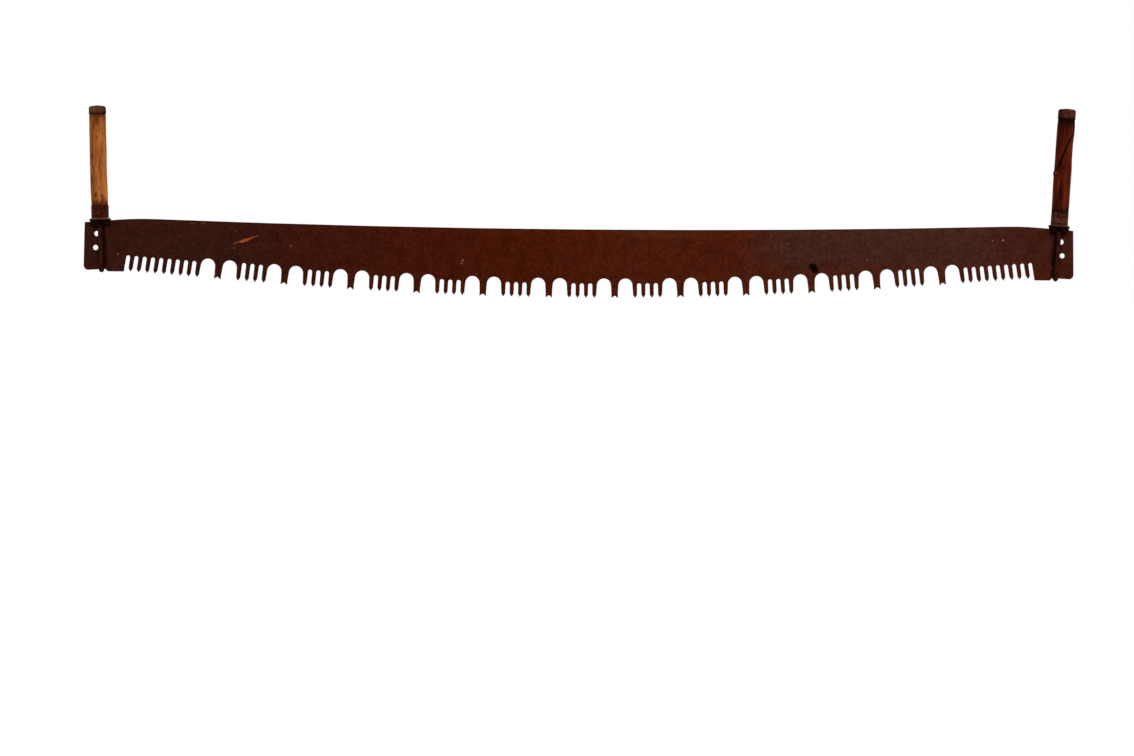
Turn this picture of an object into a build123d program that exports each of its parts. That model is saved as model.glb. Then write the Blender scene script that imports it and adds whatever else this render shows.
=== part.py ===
from build123d import *
from collections import namedtuple
from math import acos, atan2, cos, degrees, dist, radians, sin, sqrt, tan
import os

# Two man crosscut saw: a hollow-backed blade with lance teeth, and a loose loop handle on each end.
# X runs along the blade, Y through its thickness and Z up, with the teeth down and the handles up.
# The origin is at mid length, in the blade's middle plane, level with the lowest tooth tips.
# All sizes are in millimetres and degrees.

# Blade plate
blade_length = 1828.8
tooth_thickness = 2.1
back_thickness = 1.5
taper_start = 46.0
back_middle_height = 126.4
shoulder_height = 139.6
shoulder_from_end = 95.0
shoulder_reach = 33.0
end_height = 131.9
end_rake = 1.2
heel_length = 73.1
left_heel_drop = 0.6
right_heel_drop = 3.2
heel_notch_from_end = 44.9
heel_notch_run = 5.6
heel_notch_depth = 4.4
loop_seat_slope = 3.5
heel_corner_radius = 8.5

# Line through the tooth tips: an arc that runs out into straight ends
tip_line_radius = 7500.0
tip_arc_end = 570.0

# Teeth
raker_pitch = 121.9
cutters_per_group = 4
cutter_pitch = 15.5
end_cutter_pitch = 15.2
end_row_length = 140.0
end_group_least_gap = 30.0
heel_gap = 11.35
outer_lean = 9.0
cutter_width = 7.7
cutter_waist_width = 7.4
point_height = 6.0
bevel_width = 2.6
edge_land = 0.15
file_overrun = 1.0
raker_width = 12.3
raker_waist_width = 11.9
raker_notch_depth = 3.9
raker_notch_radius = 2.4
waist_height = 8.5
middle_gullet_depth = 26.8
outer_gullet_depth = 38.8
end_gullet_depth = 29.6
gullet_flare = 0.8
raker_gullet_depth = 36.0
raker_gullet_flare = 4.0

# Holes near each end, for a handle with a pin
hole_radius = 4.76
lower_hole_inset = 21.4
lower_hole_height = 85.4
upper_hole_inset = 23.4
upper_hole_height = 110.9

# Loop: flat legs on both sides of the blade that join above it in a round stem
bar_width = 8.8
bar_thickness = 5.0
blade_gap = 0.35
foot_gap = 0.6
crotch_spare = 2.9
shoulder_length = 3.5
neck_length = 8.0
stem_radius = 4.65
thread_pitch = 1.5875
loosening_turns = 7

# Saddle: the cast seat between the blade's back and the grip
saddle_height = 11.5
saddle_bead_radius = 19.2
saddle_bead_height = 5.0
saddle_top_radius = 16.9
cheek_length = 35.0
cheek_width = 21.0
cheek_corner = 7.0
saddle_slot_gap = 0.35
seat_gap = 0.05
leg_gap = 0.3

# Ferrule and grip
turning_gap = 0.2
ferrule_radius = 15.45
ferrule_wall = 1.5
ferrule_length = 24.0
ferrule_lip = 0.4
ferrule_lip_height = 1.8
wood_gap = 0.05
grip_end_round = 1.6
stem_bore_gap = 0.5
loop_bore_gap = 0.7
loop_bore_spare = 3.0

# Cap nut
cap_wall = 2.3
cap_skirt = 9.0
cap_edge_round = 4.2
cap_crown = 1.6
cap_boss_radius = 8.0
cap_boss_length = 12.0
cap_top_wall = 3.0
thread_gap = 0.05
stem_end_gap = 2.0

# Pins that hold the ferrule and the cap nut to the wood
pin_radius = 1.1
pin_length = 6.0
pin_head_radius = 2.2
pin_head_height = 0.7
pin_head_taper = 35.0
pin_gap = 0.05
cap_pin_height = 4.5
pins_each = 2

# Left handle
left_seat_inset = 29.4
left_lean = 2.0
left_saddle_rise = 4.7
left_grip_length = 167.0
left_grip_end_radius = 14.75
left_grip_middle_radius = 15.1
left_cap_height = 16.4
left_cap_radius = 15.15
left_ferrule_pin_height = 18.0
left_pin_turn = 0.0

# Right handle, of the same make, but worn, set and pinned differently
right_seat_inset = 28.0
right_lean = 3.5
right_saddle_rise = 7.6
right_grip_length = 173.5
right_grip_end_radius = 15.55
right_grip_middle_radius = 15.3
right_cap_height = 20.2
right_cap_radius = 15.8
right_ferrule_pin_height = 8.5
right_pin_turn = 68.0

Tooth = namedtuple("Tooth", "kind x")
Handle = namedtuple(
    "Handle",
    "name side seat_x lean saddle_rise grip_length grip_end_radius grip_middle_radius "
    "cap_height cap_radius ferrule_pin_height pin_turn",
)

half_length = blade_length / 2
end_x = half_length - end_rake
heel_x = half_length - heel_length
corner_x = half_length - shoulder_from_end

handles = [
    Handle(
        "left", -1, half_length - left_seat_inset, left_lean, left_saddle_rise, left_grip_length,
        left_grip_end_radius, left_grip_middle_radius, left_cap_height, left_cap_radius,
        left_ferrule_pin_height, left_pin_turn,
    ),
    Handle(
        "right", 1, half_length - right_seat_inset, right_lean, right_saddle_rise, right_grip_length,
        right_grip_end_radius, right_grip_middle_radius, right_cap_height, right_cap_radius,
        right_ferrule_pin_height, right_pin_turn,
    ),
]

# The back is an arc that rises to each shoulder, where it would meet the straight seat of a handle
seat_slope = degrees(atan2(shoulder_height - end_height, end_x - corner_x))
back_rise = shoulder_height - back_middle_height
back_radius = (corner_x**2 + back_rise**2 - shoulder_reach**2) / (2 * back_rise)
back_slope = atan2(back_rise - back_radius, corner_x) - atan2(-back_radius, shoulder_reach)
blade_top = max(back_middle_height, shoulder_height, end_height)
loop_gap = tooth_thickness + 2 * blade_gap
loop_depth = loop_gap + 2 * bar_thickness
# The loop's legs join above the blade's back by more than the loop comes down when it is loosened
crotch_height = loosening_turns * thread_pitch + crotch_spare
# The saddle's slot is as wide as the ground plate is a cheek's depth below the back, and a little more
grind = (tooth_thickness - back_thickness) / (blade_top - taper_start)
saddle_slot = back_thickness + grind * (blade_top - end_height + saddle_height) + 2 * saddle_slot_gap


def tip_height(x):
    """Height of the line through the tooth tips."""
    on_arc = min(abs(x), tip_arc_end)
    below_centre = sqrt(tip_line_radius**2 - on_arc**2)
    return tip_line_radius - below_centre + (abs(x) - on_arc) * on_arc / below_centre


def back_seat_height(x):
    """Height of the straight part of the back that a handle sits on."""
    return end_height + (end_x - x) * tan(radians(seat_slope))


def loop_seat_line(x, side):
    """Height of a heel's lower edge where a loop goes round it. side is 1 for the right heel."""
    notch_top = heel_corner(side)[1] + heel_notch_depth
    run = x - (half_length - heel_notch_from_end + heel_notch_run)
    return notch_top - run * tan(radians(loop_seat_slope))


def tooth_row():
    """Every tooth and both heels, from left to right."""
    last_tip = heel_x - heel_gap
    raker_count = int(2 * (last_tip - end_row_length) / raker_pitch) + 1
    rakers = [(i - (raker_count - 1) / 2) * raker_pitch for i in range(raker_count)]
    end_cutters = int((last_tip - rakers[-1] - end_group_least_gap) / end_cutter_pitch) + 1
    right_end = [last_tip - i * end_cutter_pitch for i in reversed(range(end_cutters))]
    row = [Tooth("heel", -heel_x)] + [Tooth("cutter", -x) for x in reversed(right_end)]
    for raker in rakers:
        row.append(Tooth("raker", raker))
        if raker != rakers[-1]:
            first = raker + (raker_pitch - (cutters_per_group - 1) * cutter_pitch) / 2
            row += [Tooth("cutter", first + i * cutter_pitch) for i in range(cutters_per_group)]
    return row + [Tooth("cutter", x) for x in right_end] + [Tooth("heel", heel_x)]


def on_tooth(x, across, up):
    """A point given from the tip of the tooth at x, in line with that tooth, which leans outward."""
    lean = radians(outer_lean) * x / heel_x
    return (
        x + across * cos(lean) - up * sin(lean),
        tip_height(x) + across * sin(lean) + up * cos(lean),
    )


def heel_corner(side):
    """The corner where a heel's lower edge meets the row of teeth."""
    return on_tooth(side * heel_x, 0, -left_heel_drop if side < 0 else -right_heel_drop)


def flank(tooth, side):
    """Points up one side of a tooth, from its tip to its waist. side is 1 for its right side."""
    if tooth.kind == "heel":
        return [heel_corner(-side), on_tooth(tooth.x, 0, waist_height)]
    if tooth.kind == "raker":
        tip = on_tooth(tooth.x, side * raker_width / 2, 0)
        return [tip, on_tooth(tooth.x, side * raker_waist_width / 2, waist_height)]
    shoulder = on_tooth(tooth.x, side * cutter_width / 2, point_height)
    waist = on_tooth(tooth.x, side * cutter_waist_width / 2, waist_height)
    return [on_tooth(tooth.x, 0, 0), shoulder, waist]


def touching_point(start, centre, radius, side):
    """Where a line up from start meets the circle smoothly, on its left (-1) or right (1) side."""
    back_to_start = atan2(start[1] - centre[1], start[0] - centre[0])
    angle = back_to_start + side * acos(radius / dist(start, centre))
    return (centre[0] + radius * cos(angle), centre[1] + radius * sin(angle))


def gullet_depth(left, right):
    """How far a gullet goes up from the tips: the narrow ones grow deeper from the middle outward."""
    if "raker" in (left.kind, right.kind):
        return raker_gullet_depth
    if abs(left.x - right.x) < cutter_pitch:
        return end_gullet_depth
    outward = ((left.x + right.x) / 2 / heel_x) ** 2
    return middle_gullet_depth + (outer_gullet_depth - middle_gullet_depth) * outward


def gullet(left, right):
    """The edge between two teeth: up one flank, over the gullet's round top and down the other."""
    up_left, up_right = flank(left, 1), flank(right, -1)
    wide = "raker" in (left.kind, right.kind)
    depth = gullet_depth(left, right)
    flare = tan(radians(raker_gullet_flare if wide else gullet_flare))
    half_gap = dist(up_left[-1], up_right[-1]) / 2
    radius = (half_gap - (depth - waist_height) * flare) / (1 - flare)
    lean = radians(outer_lean) * (left.x + right.x) / 2 / heel_x
    rise = depth - waist_height - radius
    centre = (
        (up_left[-1][0] + up_right[-1][0]) / 2 - rise * sin(lean),
        (up_left[-1][1] + up_right[-1][1]) / 2 + rise * cos(lean),
    )
    arch_start = touching_point(up_left[-1], centre, radius, -1)
    arch_end = touching_point(up_right[-1], centre, radius, 1)
    arch_top = (centre[0] - radius * sin(lean), centre[1] + radius * cos(lean))
    with BuildLine() as edge:
        Polyline(*up_left, arch_start)
        ThreePointArc(arch_start, arch_top, arch_end)
        Polyline(arch_end, *reversed(up_right))
    return edge.line


def raker_notch(x):
    """The edge of the swallow-tail notch between a raker's two points."""
    root_height = raker_notch_depth - raker_notch_radius / 2
    left_root = on_tooth(x, -raker_notch_radius, root_height)
    right_root = on_tooth(x, raker_notch_radius, root_height)
    with BuildLine() as edge:
        Line(on_tooth(x, -raker_width / 2, 0), left_root)
        ThreePointArc(left_root, on_tooth(x, 0, raker_notch_depth), right_root)
        Line(right_root, on_tooth(x, raker_width / 2, 0))
    return edge.line


def heel_and_back():
    """The rest of the outline: the heels, the ends and the hollow back."""
    # The shoulder's arc reaches as far down the handle's seat as along the back, so it is smooth with both
    shoulder_start = (
        corner_x - shoulder_reach * cos(back_slope),
        shoulder_height - shoulder_reach * sin(back_slope),
    )
    shoulder_end_x = corner_x + shoulder_reach * cos(radians(seat_slope))
    shoulder_end = (shoulder_end_x, back_seat_height(shoulder_end_x))
    heel_notch_x = half_length - heel_notch_from_end
    loop_seat_x = heel_notch_x + heel_notch_run
    with BuildLine() as edge:
        for side in (-1, 1):
            Polyline(
                heel_corner(side),
                (side * heel_notch_x, heel_corner(side)[1]),
                (side * loop_seat_x, loop_seat_line(loop_seat_x, side)),
                (side * half_length, loop_seat_line(half_length, side)),
                (side * end_x, end_height),
                (side * shoulder_end[0], shoulder_end[1]),
            )
            TangentArc(
                (side * shoulder_start[0], shoulder_start[1]),
                (side * shoulder_end[0], shoulder_end[1]),
                tangent=(side * cos(back_slope), sin(back_slope)),
            )
        ThreePointArc(
            (-shoulder_start[0], shoulder_start[1]),
            (0, back_middle_height),
            (shoulder_start[0], shoulder_start[1]),
        )
    return edge.line


def bevel_plane(x, side, face):
    """The middle plane of one filed edge of the cutter at x, with X from the tip up along the edge."""
    tip, shoulder = on_tooth(x, 0, 0), on_tooth(x, side * cutter_width / 2, point_height)
    along = Vector(shoulder[0] - tip[0], 0, shoulder[1] - tip[1]).normalized()
    return Plane(origin=(tip[0], -face * tooth_thickness / 2, tip[1]), x_dir=(0, face, 0), z_dir=along)


def filed_points(cutters):
    """What the file takes off the cutters' points: both edges on one face, and on the next one's other."""
    edge_length = dist((0, 0), (cutter_width / 2, point_height))
    run_out = bevel_width * 2 * point_height / cutter_width
    with BuildPart() as filed:
        for number, x in enumerate(cutters):
            face = 1 if number % 2 else -1
            for side in (-1, 1):
                inward = face * side
                with BuildSketch(bevel_plane(x, side, face).offset(-file_overrun)):
                    with BuildLine():
                        Polyline(
                            (edge_land, 0),
                            (tooth_thickness, inward * bevel_width),
                            (tooth_thickness + file_overrun, inward * bevel_width),
                            (tooth_thickness + file_overrun, -inward * file_overrun),
                            (edge_land, -inward * file_overrun),
                            close=True,
                        )
                    make_face()
        extrude(amount=edge_length + run_out + file_overrun)
    return filed.part


def make_blade():
    """The blade: one taper-ground plate with its teeth, filed points and end holes."""
    teeth = tooth_row()
    edges = [gullet(left, right) for left, right in zip(teeth, teeth[1:])]
    edges += [raker_notch(tooth.x) for tooth in teeth if tooth.kind == "raker"]
    edges.append(heel_and_back())
    filed = filed_points([tooth.x for tooth in teeth if tooth.kind == "cutter"])
    with BuildPart() as blade:
        with BuildSketch(Plane.XZ) as outline:
            with BuildLine():
                add(edges)
            make_face()
            corners = [(side * half_length, loop_seat_line(half_length, side)) for side in (-1, 1)]
            heel_ends = [outline.vertices().sort_by_distance(corner)[0] for corner in corners]
            fillet(heel_ends, radius=heel_corner_radius)
            with Locations(
                (lower_hole_inset - half_length, lower_hole_height),
                (half_length - lower_hole_inset, lower_hole_height),
                (upper_hole_inset - half_length, upper_hole_height),
                (half_length - upper_hole_inset, upper_hole_height),
            ):
                Circle(hole_radius, mode=Mode.SUBTRACT)
        extrude(amount=tooth_thickness / 2, both=True)
        # The plate is of one thickness along the teeth and ground thinner towards the back
        with BuildSketch(Plane.YZ):
            with BuildLine():
                Polyline(
                    (tooth_thickness / 2, -point_height),
                    (tooth_thickness / 2, taper_start),
                    (back_thickness / 2, blade_top),
                    (-back_thickness / 2, blade_top),
                    (-tooth_thickness / 2, taper_start),
                    (-tooth_thickness / 2, -point_height),
                    close=True,
                )
            make_face()
        extrude(amount=blade_length, both=True, mode=Mode.INTERSECT)
        add(filed, mode=Mode.SUBTRACT)
    blade.part.label = "blade"
    return blade.part


def stem_plane(handle):
    """The plane across a handle's stem where it crosses the blade's back, with X outward and Z up."""
    lean = radians(handle.lean)
    return Plane(
        origin=(handle.side * handle.seat_x, 0, back_seat_height(handle.seat_x)),
        x_dir=(handle.side * cos(lean), 0, -sin(lean)),
        z_dir=(handle.side * sin(lean), 0, cos(lean)),
    )


def middle_plane(handle, slope):
    """The blade's middle plane from the same point, with X outward and down by slope, and Y up."""
    return Plane(
        origin=stem_plane(handle).origin,
        x_dir=(handle.side * cos(radians(slope)), 0, -sin(radians(slope))),
        z_dir=(0, -handle.side, 0),
    )


def stem_axis(handle):
    """The line of a handle's stem."""
    stem = stem_plane(handle)
    return Axis(stem.origin, stem.z_dir)


def foot_depth(handle):
    """How far down the stem's line the heel's lower edge is."""
    drop = back_seat_height(handle.seat_x) - loop_seat_line(handle.seat_x, handle.side)
    return drop / (cos(radians(handle.lean)) + sin(radians(handle.lean)) * tan(radians(loop_seat_slope)))


def grip_bottom(handle):
    """Height of the grip's and the ferrule's lower end up the stem."""
    return handle.saddle_rise + turning_gap


def cap_bottom(handle):
    """Height of the cap nut's lower edge up the stem."""
    return grip_bottom(handle) + ferrule_length + handle.grip_length


def pin_planes(handle, height):
    """Planes on the stem's line at a height, with Z outward along each pin."""
    level = stem_plane(handle).offset(height)
    turns = [handle.pin_turn + i * 360 / pins_each for i in range(pins_each)]
    outward = [level.x_dir.rotate(stem_axis(handle), turn) for turn in turns]
    return [Plane(origin=level.origin, x_dir=level.z_dir, z_dir=direction) for direction in outward]


def drill_for_pins(handle, height, surface_radius):
    """Holes for a ring of pins in the part that is being built."""
    for plane in pin_planes(handle, height):
        with BuildSketch(plane.offset(surface_radius - pin_length - pin_gap)) as hole:
            Circle(pin_radius + pin_gap)
        extrude(hole.sketch, amount=pin_length + cap_wall, mode=Mode.SUBTRACT)


def make_loop(handle):
    """The iron loop: round under the blade, up both of its sides and into one threaded stem."""
    stem = stem_plane(handle)
    foot = foot_gap - foot_depth(handle)
    shoulder = crotch_height + shoulder_length
    neck = shoulder + neck_length
    stem_top = cap_bottom(handle) + handle.cap_height - cap_top_wall - stem_end_gap
    bend = stem.offset(foot)
    with BuildPart() as loop:
        with BuildSketch(bend):
            SlotOverall(loop_depth, bar_width, rotation=90)
        extrude(amount=shoulder - foot)
        with BuildSketch(bend):
            SlotOverall(loop_depth, bar_width, rotation=90)
            Rectangle(bar_width, loop_depth, align=(Align.CENTER, Align.MIN), mode=Mode.INTERSECT)
        revolve(axis=Axis(bend.origin, -bend.x_dir), revolution_arc=180)
        with BuildSketch(stem.offset(shoulder)):
            SlotOverall(loop_depth, bar_width, rotation=90)
        with BuildSketch(stem.offset(neck)):
            Circle(stem_radius)
        loft()
        with BuildSketch(stem.offset(neck)):
            Circle(stem_radius)
        extrude(amount=stem_top - neck)
        # The long gap that the blade lies in, round at both ends
        with BuildSketch(Plane(origin=stem.origin, x_dir=stem.y_dir, z_dir=stem.x_dir)):
            with Locations((0, (foot + crotch_height) / 2)):
                SlotCenterToCenter(crotch_height - foot, loop_gap, rotation=90)
        extrude(amount=bar_width, both=True, mode=Mode.SUBTRACT)
    loop.part.label = f"{handle.name}_loop"
    return loop.part


def make_saddle(handle):
    """The cast saddle: a beaded collar over two cheeks that straddle the blade's back."""
    stem = stem_plane(handle)
    top = handle.saddle_rise
    bead_bottom = top - saddle_bead_height
    back = middle_plane(handle, seat_slope)
    with BuildPart() as saddle:
        with BuildSketch(middle_plane(handle, handle.lean)):
            with BuildLine():
                Polyline(
                    (saddle_top_radius, top),
                    (0, top),
                    (0, bead_bottom),
                    (saddle_top_radius, bead_bottom),
                )
                ThreePointArc(
                    (saddle_top_radius, bead_bottom),
                    (saddle_bead_radius, (top + bead_bottom) / 2),
                    (saddle_top_radius, top),
                )
            make_face()
        revolve(axis=stem_axis(handle))
        with BuildSketch(stem.offset(bead_bottom)):
            RectangleRounded(cheek_length, cheek_width, cheek_corner)
        extrude(amount=-saddle_height)
        # The cheeks end in line with the blade's back, which isn't square with the stem
        with BuildSketch(back.offset(-cheek_width)):
            with Locations((0, top - saddle_height)):
                Rectangle(2 * cheek_length, saddle_height, align=(Align.CENTER, Align.MAX))
        extrude(amount=2 * cheek_width, mode=Mode.SUBTRACT)
        with BuildSketch(back):
            with Locations((0, seat_gap)):
                Rectangle(2 * cheek_length, 2 * saddle_height, align=(Align.CENTER, Align.MAX))
        extrude(amount=saddle_slot / 2, both=True, mode=Mode.SUBTRACT)
        with BuildSketch(stem.offset(top)):
            SlotOverall(loop_depth + 2 * leg_gap, bar_width + 2 * leg_gap, rotation=90)
        extrude(amount=-2 * saddle_height, mode=Mode.SUBTRACT)
    saddle.part.label = f"{handle.name}_saddle"
    return saddle.part


def make_ferrule(handle):
    """The iron tube round the grip's lower end, with a rolled lip that turns on the saddle."""
    bottom = grip_bottom(handle)
    with BuildPart() as ferrule:
        with BuildSketch(middle_plane(handle, handle.lean)):
            with BuildLine():
                Polyline(
                    (ferrule_radius, bottom + ferrule_lip_height),
                    (ferrule_radius, bottom + ferrule_length),
                    (ferrule_radius - ferrule_wall, bottom + ferrule_length),
                    (ferrule_radius - ferrule_wall, bottom),
                    (ferrule_radius, bottom),
                )
                ThreePointArc(
                    (ferrule_radius, bottom),
                    (ferrule_radius + ferrule_lip, bottom + ferrule_lip_height / 2),
                    (ferrule_radius, bottom + ferrule_lip_height),
                )
            make_face()
        revolve(axis=stem_axis(handle))
        drill_for_pins(handle, bottom + handle.ferrule_pin_height, ferrule_radius)
    ferrule.part.label = f"{handle.name}_ferrule"
    return ferrule.part


def make_grip(handle):
    """The turned wooden grip, with a tenon for the ferrule, another for the cap nut, and its bores."""
    bottom, cap = grip_bottom(handle), cap_bottom(handle)
    shoulder = bottom + ferrule_length
    tenon = ferrule_radius - ferrule_wall - wood_gap
    cap_tenon = handle.cap_radius - cap_wall - wood_gap
    tenon_top = cap + cap_skirt - turning_gap
    boss_bore = cap_boss_radius + wood_gap
    boss_bore_bottom = cap + cap_skirt - cap_boss_length - turning_gap
    stem_bore = stem_radius + stem_bore_gap
    loop_bore = loop_depth / 2 + loop_bore_gap
    loop_bore_top = crotch_height + shoulder_length + neck_length + loop_bore_spare
    end_radius = handle.grip_end_radius
    with BuildPart() as grip:
        with BuildSketch(middle_plane(handle, handle.lean)):
            with BuildLine():
                Polyline(
                    (end_radius, cap - grip_end_round),
                    (end_radius - grip_end_round, cap),
                    (cap_tenon, cap),
                    (cap_tenon, tenon_top),
                    (boss_bore, tenon_top),
                    (boss_bore, boss_bore_bottom),
                    (stem_bore, boss_bore_bottom),
                    (stem_bore, loop_bore_top),
                    (loop_bore, loop_bore_top),
                    (loop_bore, bottom),
                    (tenon, bottom),
                    (tenon, shoulder),
                    (end_radius, shoulder),
                )
                ThreePointArc(
                    (end_radius, shoulder),
                    (handle.grip_middle_radius, (shoulder + cap - grip_end_round) / 2),
                    (end_radius, cap - grip_end_round),
                )
            make_face()
        revolve(axis=stem_axis(handle))
        drill_for_pins(handle, bottom + handle.ferrule_pin_height, ferrule_radius)
        drill_for_pins(handle, cap + cap_pin_height, handle.cap_radius)
    grip.part.label = f"{handle.name}_grip"
    return grip.part


def make_cap_nut(handle):
    """The domed cap: a skirt over the grip's upper end round a boss tapped for the stem."""
    bottom = cap_bottom(handle)
    top = bottom + handle.cap_height
    roof = bottom + cap_skirt
    skirt_inside = handle.cap_radius - cap_wall
    thread = stem_radius + thread_gap
    with BuildPart() as cap_nut:
        with BuildSketch(middle_plane(handle, handle.lean)):
            with BuildLine():
                Polyline(
                    (0, top),
                    (0, top - cap_top_wall),
                    (thread, top - cap_top_wall),
                    (thread, roof - cap_boss_length),
                    (cap_boss_radius, roof - cap_boss_length),
                    (cap_boss_radius, roof),
                    (skirt_inside, roof),
                    (skirt_inside, bottom),
                    (handle.cap_radius, bottom),
                    (handle.cap_radius, top - cap_crown - cap_edge_round),
                )
                edge = TangentArc(
                    (handle.cap_radius, top - cap_crown - cap_edge_round),
                    (handle.cap_radius - cap_edge_round, top - cap_crown),
                    tangent=(0, 1),
                )
                Line(edge @ 1, (0, top))
            make_face()
        revolve(axis=stem_axis(handle))
        drill_for_pins(handle, bottom + cap_pin_height, handle.cap_radius)
    cap_nut.part.label = f"{handle.name}_cap_nut"
    return cap_nut.part


def make_pins(handle, name, height, surface_radius):
    """A ring of small nails whose heads lie on a round part."""
    with BuildPart() as pins:
        for plane in pin_planes(handle, height):
            with BuildSketch(plane.offset(surface_radius - pin_length)):
                Circle(pin_radius)
            extrude(amount=pin_length + pin_gap + pin_head_height / 2)
            with BuildSketch(plane.offset(surface_radius + pin_gap)):
                Circle(pin_head_radius)
            extrude(amount=pin_head_height, taper=pin_head_taper)
    pins.part.label = f"{handle.name}_{name}_pins"
    return pins.part


pieces = [make_blade()]
for handle in handles:
    pieces += [
        make_loop(handle),
        make_saddle(handle),
        make_ferrule(handle),
        make_grip(handle),
        make_cap_nut(handle),
        make_pins(handle, "ferrule", grip_bottom(handle) + handle.ferrule_pin_height, ferrule_radius),
        make_pins(handle, "cap", cap_bottom(handle) + cap_pin_height, handle.cap_radius),
    ]

os.makedirs("parts", exist_ok=True)
for piece in pieces:
    export_step(piece, f"parts/{piece.label}.step")
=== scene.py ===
"""The two man crosscut saw as it looks: rusted steel and iron, and two worn wooden grips.

Laid out as an add-on and run as a script. The operators dress the saw piece by piece.
"""
import bmesh
import bpy
import numpy as np
from bpy.props import FloatProperty, FloatVectorProperty, IntProperty, PointerProperty
from math import pi, radians
from mathutils import Matrix, Vector


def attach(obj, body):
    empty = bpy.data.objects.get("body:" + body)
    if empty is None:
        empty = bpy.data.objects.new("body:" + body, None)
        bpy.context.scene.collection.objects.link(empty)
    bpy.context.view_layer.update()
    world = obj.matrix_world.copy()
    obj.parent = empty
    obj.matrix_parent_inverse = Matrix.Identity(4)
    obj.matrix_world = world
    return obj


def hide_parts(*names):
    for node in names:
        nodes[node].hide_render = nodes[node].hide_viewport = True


bl_info = {
    "name": "Two Man Crosscut Saw",
    "version": (1, 0, 0),
    "blender": (4, 5, 0),
    "location": "3D View > Sidebar > Saw",
    "description": "Rusted steel, cast and forged iron, worn grips and nails for a two man crosscut saw",
    "category": "Object",
}

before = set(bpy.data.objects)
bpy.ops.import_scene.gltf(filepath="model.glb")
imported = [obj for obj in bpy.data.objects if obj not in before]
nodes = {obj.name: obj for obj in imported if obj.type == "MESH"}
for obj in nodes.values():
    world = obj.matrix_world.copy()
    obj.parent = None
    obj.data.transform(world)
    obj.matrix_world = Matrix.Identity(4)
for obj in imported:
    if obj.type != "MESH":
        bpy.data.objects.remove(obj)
MM = 0.001

# The blade, in millimetres: half its length, the height and rake of its ends, the rise of the straight seats
# that the handles stand on, and the hollow back as its height at mid length and its radius
HALF_LENGTH = 914.4
END_HEIGHT = 131.9
END_RAKE = 1.2
SEAT_RISE = 7.7 / 93.8
MIDDLE_HEIGHT = 126.4
HOLLOW_RADIUS = 25400

# Each handle, in millimetres and degrees. First how far in from the blade's end its stem crosses the back,
# how far it leans out, how far up the stem the ferrule starts, and the length of the bare wood. Then its cap
# nut and the nails of its ferrule. Last its turned outline, as radii at shares of the bare wood's length, the
# bow that the wood has taken, and the seed of its dents
HANDLES = {
    "left": {
        "side": -1, "inset": 29.4, "lean": 2.0, "rise": 4.9, "length": 167.0,
        "cap": 16.4, "cap_radius": 15.15, "nail_height": 18.0, "nail_turn": 0.0,
        "places": (0, 0.03, 0.16, 0.3, 0.5, 0.75, 0.93, 1.0),
        "radii": (14.6, 14.75, 15.15, 15.1, 14.98, 14.85, 14.75, 14.65),
        "bow": -0.75, "seed": 5,
    },
    "right": {
        "side": 1, "inset": 28.0, "lean": 3.5, "rise": 7.8, "length": 173.5,
        "cap": 20.2, "cap_radius": 15.8, "nail_height": 8.5, "nail_turn": 68.0,
        "places": (0, 0.02, 0.084, 0.148, 0.344, 0.47, 0.597, 0.73, 0.856, 0.93, 0.985, 1.0),
        "radii": (15.2, 15.3, 15.5, 15.65, 15.7, 15.8, 15.55, 15.5, 15.85, 15.9, 15.15, 15.0),
        "bow": -0.35, "seed": 11,
    },
}
FERRULE_LENGTH = 24.0
FERRULE_RADIUS = 15.45
CAP_NAIL_HEIGHT = 4.5

# Inside a grip: the tenon in the ferrule, the wide bore round the loop, the narrow one round its stem, and
# the tenon and the bore that take the cap nut's skirt and boss
TENON_RADIUS = 13.9
LOOP_BORE_RADIUS = 7.1
LOOP_BORE_TOP = 28.5125
STEM_BORE_RADIUS = 5.15
CAP_WALL_AND_GAP = 2.35
CAP_TENON_LENGTH = 8.8
BOSS_BORE_RADIUS = 8.05
BOSS_BORE_DEPTH = 3.2
GRIP_END_ROUND = 1.6

# Marks on the blade's front. A patch is a centre and half sizes across, through and up in millimetres, a turn
# in radians, and how strongly it shows
SCRATCHES = (
    ((-636, -1, 96.3), (9, 0.9, 1.3), -0.35, 0.7), ((-621, -1, 100.8), (14, 0.9, 3.6), -0.3, 0.95),
    ((-609, -1, 105.5), (11, 0.9, 1.9), -0.36, 0.85), ((-599, -1, 108.5), (7, 0.9, 1.1), -0.25, 0.5),
    ((-638, -1, 117.5), (7, 0.9, 1.4), -0.5, 0.2),
)
SMEAR = ((150, -1, 117), (150, 2, 11), 0.01, 0.2)
RUBS = (((-717, -1, 131.5), (6.5, 0.9, 1.7), 0.0, 0.28), ((-697, -1, 132), (6.5, 0.9, 1.7), 0.0, 0.28))
BLOTS = (((427.6, -1, 61), (8.6, 0.9, 7.8), 0.3, 0.95), ((431, -1, 56), (7.4, 0.9, 8.6), -0.3, 0.95))
# Pale specks: place along and up the blade, half width, and how strongly each shows
SPECKS = (
    (-536, 91.2, 1.9, 0.75), (-220, 67.5, 2.6, 0.6), (-222, 61.5, 2.2, 0.5), (-195, 42.5, 1.6, 0.5),
    (-290, 87, 1.4, 0.35), (762.7, 112.5, 2.0, 0.5), (782, 113.5, 2.9, 0.7), (528.4, 75.1, 1.6, 0.6),
    (-851.9, 73.8, 1.7, 0.7), (303, 97, 1.4, 0.4), (356, 99, 1.4, 0.4), (380, 103, 1.5, 0.5),
    (-640, 86.5, 1.5, 0.5),
)

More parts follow.
